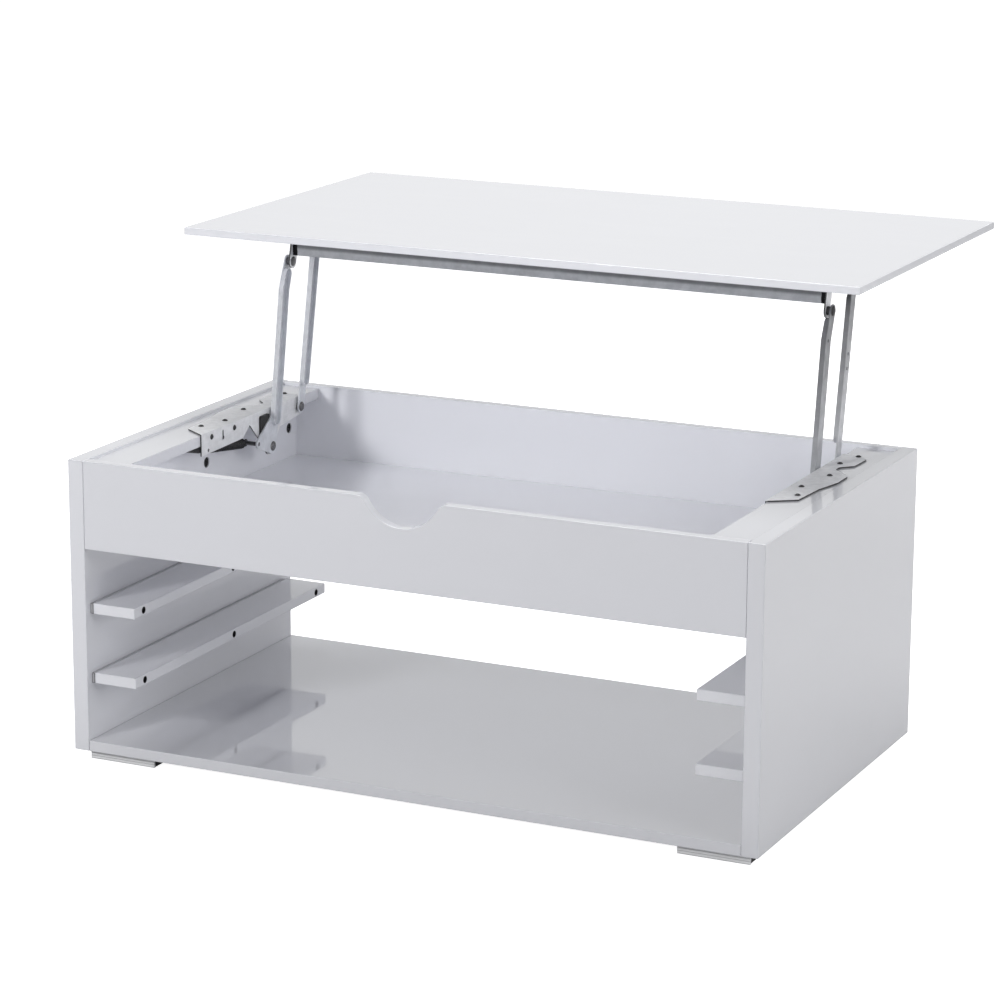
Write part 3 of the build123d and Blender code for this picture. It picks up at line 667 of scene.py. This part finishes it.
def make_piece(name, grids, body, finish, slot, *stands_for):
    """Makes one object from grids of points shaped (copies, rows, columns, 3), closed and facing out."""
    points, faces, first = [], [], 0
    for grid in grids:
        copies, rows, columns, _ = grid.shape
        points.append(grid.reshape(-1, 3))
        faces.append(quads(rows, columns, copies) + first)
        first += copies * rows * columns
    mesh = bpy.data.meshes.new(name)
    mesh.from_pydata(np.concatenate(points).tolist(), [], np.concatenate(faces).tolist())
    tidy = bmesh.new()
    tidy.from_mesh(mesh)
    bmesh.ops.remove_doubles(tidy, verts=tidy.verts, dist=1e-6)
    bmesh.ops.recalc_face_normals(tidy, faces=tidy.faces)
    for face in tidy.faces:
        face.smooth = True
    for edge in tidy.edges:
        edge.smooth = edge.calc_face_angle(0.0) < math.radians(38)
    tidy.to_mesh(mesh)
    tidy.free()
    mesh.materials.append(finish)
    piece = bpy.data.objects.new(name, mesh)
    bpy.context.scene.collection.objects.link(piece)
    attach(piece, body)
    if stands_for:
        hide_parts(*stands_for)
    return piece


def turned(profile, places, axis, across, columns=24, recess=None):
    """Points of a turned shape: place + axis * height + radius * (across * cos + other * sin).
    recess, if given, lowers the height by a function of the two distances from the axis."""
    axis, across = np.array(axis, float), np.array(across, float)
    other = np.cross(axis, across)
    radius, height = np.array(profile, float).T
    angle = np.linspace(0, 2 * math.pi, columns, endpoint=False)
    a, b = radius[:, None] * np.cos(angle), radius[:, None] * np.sin(angle)
    lift = np.broadcast_to(height[:, None], a.shape)
    if recess is not None:
        lift = lift - recess(a, b, lift)
    shape = a[..., None] * across + b[..., None] * other + lift[..., None] * axis
    return np.array(places, float)[:, None, None, :] + shape[None]


def mirrored(grid, side):
    """The same points on the other side of the table's middle plane, when side is 1."""
    return grid if side < 0 else grid * np.array((-1.0, 1.0, 1.0))


print("surface helpers ready")

# %% [markdown]
# ## Screws with a cross recess
# The screws are black oxide steel with low domed heads. The recess is part of the same surface: the
# head's height drops where a point is near either of two crossed lines. A smooth step on that distance
# gives the recess sloping walls, as a punch leaves them, without any cutting.


# %% Black steel and the screw shape
black_steel = steel("black_oxide", (0.085, 0.083, 0.085), (0.02, 0.02, 0.02), 0.36, grime=0.5)
pin_steel = steel("pin_steel", (0.20, 0.20, 0.205), (0.06, 0.06, 0.06), 0.26, grime=0.4)
screw_head, screw_shank = 0.004, 0.002


def smooth_step(value):
    """Rises from 0 to 1 as value does, level at both ends."""
    t = np.clip(value, 0, 1)
    return t * t * (3 - 2 * t)


def cross_recess(a, b, height):
    """Depth of a cross: full within its arms, none beyond them, and only on the top of the head."""
    arm = smooth_step((0.00075 - np.minimum(abs(a), abs(b))) / 0.0004)
    reach = smooth_step((0.0023 - np.maximum(abs(a), abs(b))) / 0.0007)
    return 0.0012 * arm * reach * (height > 0.0004)


def screw_profile(rise, length, dome=0.0004):
    """Radii and heights from the middle of the head, over its edge and down the shank to the tip.
    Heights are measured from the plane the head rests on. The head is a paraboloid: its height falls
    with the square of the distance from the axis, by dome in all."""
    head = [(screw_head * s, rise + dome * (1 - s * s)) for s in np.linspace(0, 1, 13)]
    rim = [(screw_head, rise * 0.3), (screw_shank, 0), (screw_shank, -length)]
    return head + rim + [(screw_shank * 0.3, -length - 0.0006), (0, -length - 0.0006)]


print("screw head", screw_head * 2000, "mm")

# %% [markdown]
# ## Screws of the base brackets
# Five screws hold each base bracket down on its ledge and two more go in through its web. Their places
# are offsets from the front pivot, as in the CAD model. Mirroring the left side's points gives the right
# side. The heads are tall domes, so they still look round from a low angle.

# %% Base bracket screws
flange_steps = np.array(((-0.148, 0.025), (-0.102, 0.013), (-0.028, 0.025), (0.042, 0.014), (0.090, 0.023)))
web_steps = np.array((-0.166, -0.102))
flange_top, web_screw_rise, dome_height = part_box("base_bracket_left")[1].z, 0.001, 0.0021
ledge_low, ledge_high = (corner.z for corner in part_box("ledge_left"))
flange_places = np.stack(
    (plate_face - sheet - flange_steps[:, 1], front_low[0] + flange_steps[:, 0], np.full(5, flange_top)), axis=1
)
web_screw_height = (ledge_low + ledge_high) / 2 + web_screw_rise
web_places = np.array([(plate_face, front_low[0] + step, web_screw_height) for step in web_steps])
low_dome = screw_profile(0.0004, 0.0108, dome_height)
for side, sign in sides.items():
    grids = [
        mirrored(turned(low_dome, flange_places, (0, 0, 1), (1, 0, 0), 48, cross_recess), sign),
        mirrored(turned(low_dome, web_places, (1, 0, 0), (0, 1, 0), 48, cross_recess), sign),
    ]
    name = f"base_bracket_screws_{side}"
    make_piece(name + "_turned", grids, "carcass", black_steel, "black_screws", name)
print("flange screws:", len(flange_places), "web screws:", len(web_places))

# %% [markdown]
# ## Screws of the rails and of the top
# Long screws hold the rails from inside wide counterbores, so each shows as a small black disc deep in a
# hole. The places along the rail are evenly spaced, and the head sits on the bottom of its bore. A thin
# black sleeve lines each bore. Three short screws hold each top bracket from below.

# %% Rail screws and top screws
rail_low, rail_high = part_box("upper_rail_left")
rail_margin, rail_pitch, bore_depth = 0.024, 0.245, 0.012
rail_stations = rail_low.y + rail_margin + rail_pitch * np.arange(3)
rail_middles = [sum(corner.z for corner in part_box(f"{level}_rail_left")) / 2 for level in ("upper", "lower")]
bore_bottom = rail_high.x - bore_depth
rail_places = np.array([(bore_bottom, y, z) for z in rail_middles for y in rail_stations])
rail_length = bore_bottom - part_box("rail_screws_left")[0].x
pan_head = screw_profile(0.0012, rail_length - 0.0008)
sleeve_in, sleeve_out, sleeve_foot, sleeve_top = 0.0043, 0.00495, 0.0001, 0.0119
sleeve = [(sleeve_in, sleeve_foot), (sleeve_in, sleeve_top), (sleeve_out, sleeve_top)]
sleeve += [(sleeve_out, sleeve_foot), sleeve[0]]
top_low, top_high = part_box("top_bracket_screws_left")
top_head = 0.002
top_column, head_plane = (top_low.x + top_high.x) / 2, top_low.z + top_head
top_stations = np.linspace(top_low.y + screw_head, top_high.y - screw_head, 3)
top_places = np.array([(top_column, y, head_plane) for y in top_stations])
top_dome = screw_profile(0.0014, top_high.z - head_plane - 0.0006)
for side, sign in sides.items():
    rails = mirrored(turned(pan_head, rail_places, (1, 0, 0), (0, 1, 0), 48, cross_recess), sign)
    name = f"rail_screws_{side}"
    make_piece(name + "_turned", [rails], "carcass", black_steel, "black_screws", name)
    sleeves = mirrored(turned(sleeve, rail_places, (1, 0, 0), (0, 1, 0), 48), sign)
    make_piece(f"rail_sleeves_{side}", [sleeves], "carcass", black_mould, "black_nylon")
    under = mirrored(turned(top_dome, top_places, (0, 0, -1), (1, 0, 0), 48, cross_recess), sign)
    name = f"top_bracket_screws_{side}"
    make_piece(name + "_turned", [under], "top", black_steel, "black_screws", name)
print("rail screws:", len(rail_places), "top screws:", len(top_places))

# %% [markdown]
# ## Cam sockets
# Two black cam sockets pull each lining board tight. A cam is a shallow cup with a rim and a cross for
# the screwdriver. It is turned like the screws, with a wider cross cut into its face.

# %% Cam sockets
black_cam, tree, shader, spot = new_finish("cam_plastic", IOR=1.48, Coat_Weight=0.1)
moulded = use_group(tree, mould_tree, Vector=spot, Grain_size=900.0)
colour = blend_colours(tree, moulded["Rub"], (0.010, 0.010, 0.011), (0.028, 0.027, 0.027))
tree.links.new(colour, shader.inputs["Base Color"])
tree.links.new(maths(tree, "MULTIPLY_ADD", moulded["Rub"], -0.1, 0.42), shader.inputs["Roughness"])
bump(tree, shader, moulded["Grain"], 0.2, 0.0002)


def cam_cross(a, b, height):
    """Depth of a wide cross in the cam's face: full within its arms, and none beyond them."""
    arm = smooth_step((0.0011 - np.minimum(abs(a), abs(b))) / 0.0004)
    reach = smooth_step((0.0044 - np.maximum(abs(a), abs(b))) / 0.0008)
    return 0.0022 * arm * reach * (height > -0.002)


cam_low, cam_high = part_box("lining_cams_left")
cam_radius, cam_thick = (cam_high.z - cam_low.z) / 2, cam_high.x - cam_low.x
cam_places = np.array(
    [(cam_high.x, y, (cam_low.z + cam_high.z) / 2) for y in (cam_low.y + cam_radius, cam_high.y - cam_radius)]
)
face = [(cam_radius * s, -0.0010) for s in np.linspace(0, 0.8, 15)]
cup = face + [(cam_radius * 0.84, -0.0001), (cam_radius * 0.96, 0.0), (cam_radius, -0.0004)]
cup += [(cam_radius, -cam_thick), (0, -cam_thick)]
for side, sign in sides.items():
    grid = mirrored(turned(cup, cam_places, (1, 0, 0), (0, 1, 0), 48, cam_cross), sign)
    make_piece(f"lining_cams_{side}_turned", [grid], "carcass", black_cam, "black_cams", f"lining_cams_{side}")
print("cams:", len(cam_places), "of", round(cam_radius * 2000, 1), "mm")

# %% [markdown]
# ## Rivets, pivots and crank pins
# Every arm turns on a riveted pin. A rivet's head is a low dome with a small flat where the press struck
# it. Each pin is one profile from end to end, so its flanges, its neck and both heads need no joining.
# The spring post and the crank pin are plain rods with rounded ends. A small inked stamp marks the kink.


# %% Pins
def rounded_rod(radius, start, end, soft=0.0006):
    """Profile of a rod from start to end with both rims rounded off."""
    turn = np.linspace(0, math.pi / 2, 5)
    first = [(radius - soft + soft * math.sin(t), start + soft - soft * math.cos(t)) for t in turn]
    last = [(radius - soft + soft * math.cos(t), end - soft + soft * math.sin(t)) for t in turn]
    return [(0, start), *first, *last, (0, end)]


def domed(radius, start, tall):
    """Profile of a rivet head from its rim at start to the flat on its top."""
    steepest = 1.25
    turn = np.linspace(0, 1, 8) * steepest
    return [(radius * math.cos(t), start + tall * math.sin(t) / math.sin(steepest)) for t in turn]


pin_low, pin_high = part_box("base_pins_left")
web_outer = plate_face - sheet
pin_play, pin_radius, head_radius, shoulder_radius, post_radius = 0.0002, 0.004, 0.007, 0.006, 0.0025
arm_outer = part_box("front_arm_left")[0].x
arm_inner = arm_outer + sheet
neck_start, neck_end = arm_outer - pin_play, arm_inner + pin_play
reach = (front_high - front_low) / np.linalg.norm(front_high - front_low)
kink_below, kink_aside = 0.040, 0.008
kink = front_high - kink_below * reach + kink_aside * np.array((-reach[1], reach[0]))
low_pin = [(0, web_outer), (pin_radius, web_outer), (pin_radius, plate_face), (head_radius, plate_face)]
low_pin += [(head_radius, neck_start), (pin_radius, neck_start), (pin_radius, neck_end)]
low_pin += [*domed(head_radius, neck_end, pin_high.x - arm_inner - pin_play), (0, pin_high.x)]
post_back, post_rise = 0.175, 0.030
post_place = (front_low[0] - post_back, front_low[1] + post_rise)
post = rounded_rod(post_radius, pin_low.x, plate_face - 0.0001)
low_places = [(0, *front_low), (0, *rear_low)]
for side, sign in sides.items():
    grids = [
        turned(low_pin, low_places, (1, 0, 0), (0, 1, 0), 32),
        turned(post, [(0, *post_place)], (1, 0, 0), (0, 1, 0), 24),
    ]
    name = f"base_pins_{side}"
    make_piece(name + "_turned", [mirrored(g, sign) for g in grids], "carcass", pin_steel, "pin_steel", name)

high_low, high_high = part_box("top_pins_left")
ear_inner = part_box("cross_bar")[0].x
ear_outer = ear_inner - sheet
back_tall = neck_start - high_low.x
back_head = [(r, high_low.x + back_tall - h) for r, h in domed(head_radius, 0.0, back_tall)]
high_pin = [(0, high_low.x), *back_head[::-1], (pin_radius, neck_start), (pin_radius, neck_end)]
high_pin += [(shoulder_radius, neck_end), (shoulder_radius, ear_outer), (pin_radius, ear_outer)]
high_pin += [(pin_radius, ear_inner)]
high_pin += [*domed(head_radius, ear_inner, high_high.x - ear_inner), (0, high_high.x)]
high_places = [(0, *front_high), (0, *rear_high)]
for side, sign in sides.items():
    name = f"top_pins_{side}"
    grid = mirrored(turned(high_pin, high_places, (1, 0, 0), (0, 1, 0), 32), sign)
    # Painted shade: the right top pins are painted black oxide and the left ones pin steel, so the right pivots
    # look darker. The pins themselves are alike.
    make_piece(name + "_turned", [grid], "top", black_steel if sign > 0 else pin_steel, "pin_steel", name)

crank_low, crank_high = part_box("crank_pin_left")
crank_radius = (crank_high.z - crank_low.z) / 2
crank_place = ((crank_low.y + crank_high.y) / 2, (crank_low.z + crank_high.z) / 2)
crank = rounded_rod(crank_radius, crank_low.x, crank_high.x)
stamp = rounded_rod(0.0024, 0, 0.0002, 0.0001)
for side, sign in sides.items():
    mark = mirrored(turned(stamp, [(arm_outer, *kink)], (-1, 0, 0), (0, 1, 0), 24), sign)
    make_piece(f"arm_stamp_{side}", [mark], f"load_arm_{side}", black_steel, "black_screws")
    name = f"crank_pin_{side}"
    grid = mirrored(turned(crank, [(0, *crank_place)], (1, 0, 0), (0, 1, 0), 24), sign)
    make_piece(name + "_turned", [grid], f"load_arm_{side}", pin_steel, "pin_steel", name)
print("pins at", np.round(low_places, 3).tolist(), "crank pin at", np.round(crank_place, 3))

# %% [markdown]
# ## Springs
# A tension spring under each ledge pulls on the short end of the load arm and carries the weight of the
# top. It is one wire, closely wound, with an eye bent from each end. The coil is a circle carried along
# a helix: the helix's outward direction is always square to the wire, so it gives the circle its first
# direction, and the wire's own direction crossed with it gives the second. The eyes lie in one plane,
# where the plane's normal does that job.


# %% Spring wire
def swept(path, outward, radius, columns=8):
    """Points of a round wire: path + radius * (outward * cos + second * sin), with closed ends."""
    along = np.gradient(path, axis=0)
    along /= np.linalg.norm(along, axis=1, keepdims=True)
    outward = outward / np.linalg.norm(outward, axis=1, keepdims=True)
    second = np.cross(along, outward)
    angle = np.linspace(0, 2 * math.pi, columns, endpoint=False)
    ring = np.cos(angle)[:, None] * outward[:, None] + np.sin(angle)[:, None] * second[:, None]
    body = path[:, None] + radius * ring
    ends = np.broadcast_to(path[[0, -1]][:, None], (2, columns, 3))
    return np.concatenate((ends[:1], body, ends[1:]))[None]


spring_steel = steel("spring_wire", (0.075, 0.075, 0.078), (0.02, 0.02, 0.02), 0.36, grime=0.5)
wire, coil_radius, hook = 0.001, 0.0068, 0.012
spring_x = sum(corner.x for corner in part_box("spring_left")) / 2
near_end, far_end = (np.array((spring_x, *p)) for p in (post_place, crank_place))
axis_run = far_end - near_end
spring_length = np.linalg.norm(axis_run)
axis_dir = axis_run / spring_length
side_dir = np.array((1.0, 0.0, 0.0))
up_dir = np.cross(axis_dir, side_dir)
turns = int((spring_length - 2 * hook) / (2.15 * wire))
t = np.linspace(0, 1, turns * 14 + 1)
turn_angle = 2 * math.pi * turns * t
open_out = smooth_step(t * turns / 0.6) * smooth_step((1 - t) * turns / 0.6)
radial = np.cos(turn_angle)[:, None] * side_dir + np.sin(turn_angle)[:, None] * up_dir
coil_path = near_end + axis_dir * (hook + (spring_length - 2 * hook) * t)[:, None]
coil_path = coil_path + radial * (coil_radius * open_out)[:, None]
print("turns:", turns, "length:", round(spring_length, 3))


# %% [markdown]
# ## The springs' eyes
# The wire's ends are bent round the post and round the crank pin. An eye is a circle that is left a
# little open, then a straight shank back to the coil. It clears its pin by half a millimetre.


# %% Spring eyes and both springs
def eye_path(centre, toward, radius):
    """A ring round a pin, open beside its shank, then the shank itself: all in one plane."""
    angle = np.linspace(0.25, 2 * math.pi - 0.12, 33)
    other = np.cross(toward, side_dir)
    ring = centre + radius * (np.cos(angle)[:, None] * toward + np.sin(angle)[:, None] * other)
    shank = centre + toward * np.linspace(radius * 1.12, hook + wire, 6)[:, None]
    return np.concatenate((ring, shank))


eye_play = 0.0005
eyes = [
    eye_path(near_end, axis_dir, post_radius + eye_play + wire),
    eye_path(far_end, -axis_dir, crank_radius + eye_play + wire),
]
flat_normal = np.broadcast_to(side_dir, eyes[0].shape)
for side, sign in sides.items():
    grids = [swept(coil_path, radial, wire)] + [swept(eye, flat_normal, wire) for eye in eyes]
    name = f"spring_{side}"
    wound = [mirrored(grid, sign) for grid in grids]
    make_piece(name + "_wound", wound, "carcass", spring_steel, "spring_steel", name)
print("springs wound")

# %% [markdown]
# ## Shadow blocks under the ledges
# A black block sits under each ledge just in front of the bracket, by the spring's fixed end. It is painted
# shade: a dark object that fills the deep shadow under the ledge, with the black plastic finish. It tapers to
# nothing towards the front. Its cross section is a superellipse: a circle's formula with a power on the cosine
# and the sine, which squares it off but leaves its corners soft.


# %% Shadow blocks under the ledges
def tapered_block(low, high, taper, columns=32, power=0.35):
    """Points of a block along Y whose underside rises from low to high by the given shares, station by
    station. Each ring is a superellipse: half size * sign(c) * |c| to a power, for cosine and sine."""
    low, high = np.array(low, float), np.array(high, float)
    angle = np.linspace(0, 2 * math.pi, columns, endpoint=False)
    c, s = np.cos(angle), np.sin(angle)
    wide, tall = np.sign(c) * abs(c) ** power, np.sign(s) * abs(s) ** power
    share = np.array([0.0, 1.0, *taper, 0.0])
    stations = (0, 1, len(share) - 2, len(share) - 1)
    y = np.interp(np.arange(len(share)), stations, (high[1], high[1], low[1], low[1]))
    depth = (high[2] - low[2]) / 2 * share
    x = (low[0] + high[0]) / 2 + (high[0] - low[0]) / 2 * wide * np.minimum(share * 4, 1)[:, None]
    z = high[2] - depth[:, None] + depth[:, None] * tall
    return np.stack((x, np.broadcast_to(y[:, None], x.shape), z), axis=-1)[None]


lining_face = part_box("well_lining_left")[1].x
bracket_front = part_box("base_bracket_left")[0].y
block_play, block_ahead, block_behind, block_drop = 0.0004, 0.034, 0.004, 0.0105
block_low = (lining_face + block_play, bracket_front - block_ahead, ledge_low - block_drop)
block_high = (web_outer - 0.0006, bracket_front + block_behind, ledge_low - block_play)
for side, sign in sides.items():
    grid = mirrored(tapered_block(block_low, block_high, np.linspace(1, 0.12, 12)), sign)
    # Painted shade: a black block where the ledge's underside lies in deep shadow.
    make_piece(f"ledge_shadow_block_{side}", [grid], "carcass", black_mould, "black_nylon")
print("anchor blocks:", np.round(np.array(block_high) - np.array(block_low), 4))
